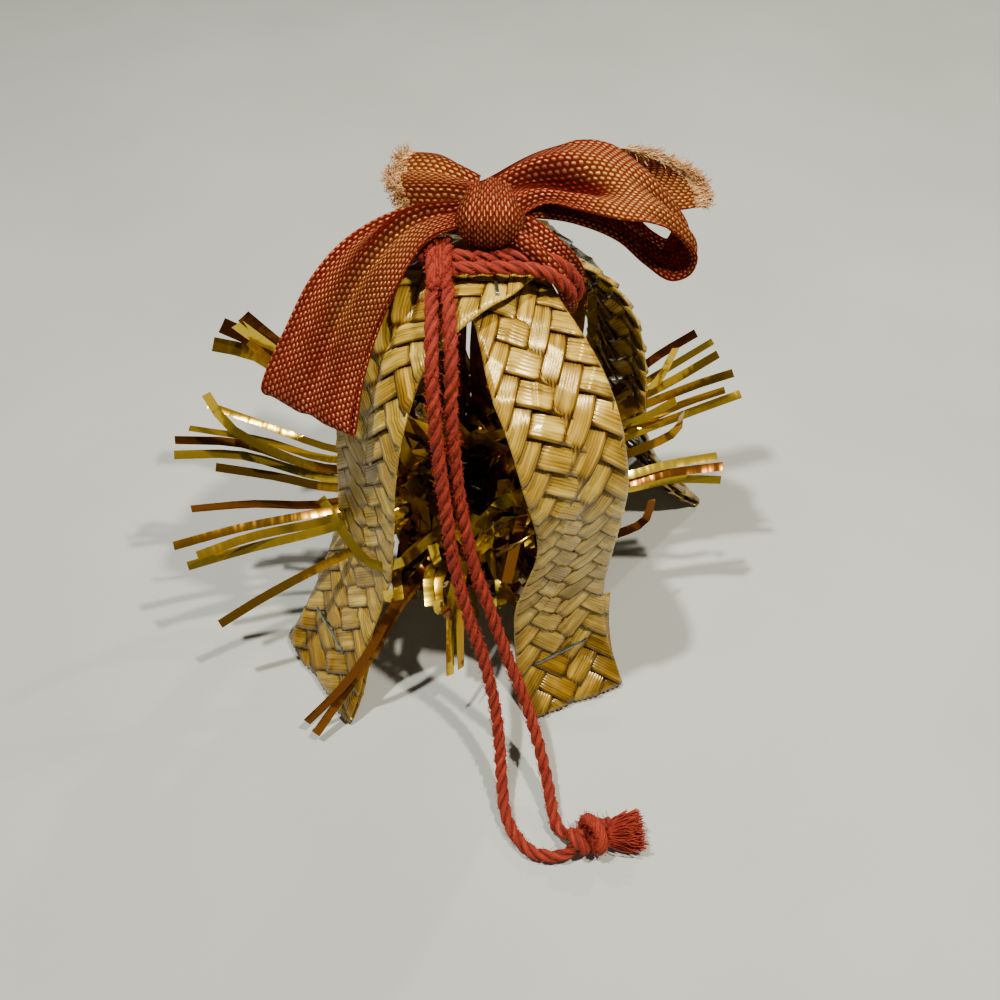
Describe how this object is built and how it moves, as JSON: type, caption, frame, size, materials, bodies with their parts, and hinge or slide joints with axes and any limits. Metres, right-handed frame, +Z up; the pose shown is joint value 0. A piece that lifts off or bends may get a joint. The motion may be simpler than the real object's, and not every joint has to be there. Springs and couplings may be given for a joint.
{
  "type": "straw ornament",
  "caption": "Bell-shaped cage of crossed plaited straw bands on four feet, with a foil fringe ring inside, a ribbon bow and a knotted hanging cord.",
  "frame": {"origin": "floor under the middle of the ornament's footprint, measured without the hanging cord", "axes": "+Z up, -Y is the front that the hanging cord falls over, +X to the right seen from the front"},
  "size_m": [0.1242, 0.1194, 0.1033],
  "materials": {
    "plaited_straw": "flat glossy straw splints plaited on the bias, pale gold, greyer in the legs",
    "staple_wire": "zinc-coated flat staple wire, dulled",
    "gold_foil": "gold metallised film cut in narrow strips, mirror bright",
    "woven_ribbon": "copper-red woven ribbon with bright weft floats and frayed cut ends",
    "twisted_cord": "red-orange twisted cotton cord, matt and slightly hairy"
  },
  "bodies": {
    "root": {"straw_band_upper": "plaited_straw", "straw_band_lower": "plaited_straw", "staple_front_left": "staple_wire", "staple_front_right": "staple_wire", "staple_back_left": "staple_wire", "staple_back_right": "staple_wire", "staple_crossing": "staple_wire", "foil_garland": "gold_foil", "ribbon_bow": "woven_ribbon", "cord_neck_wrap": "twisted_cord", "cord_strand_left": "twisted_cord", "cord_strand_right": "twisted_cord", "cord_end_knot": "twisted_cord"}
  },
  "joints": []
}
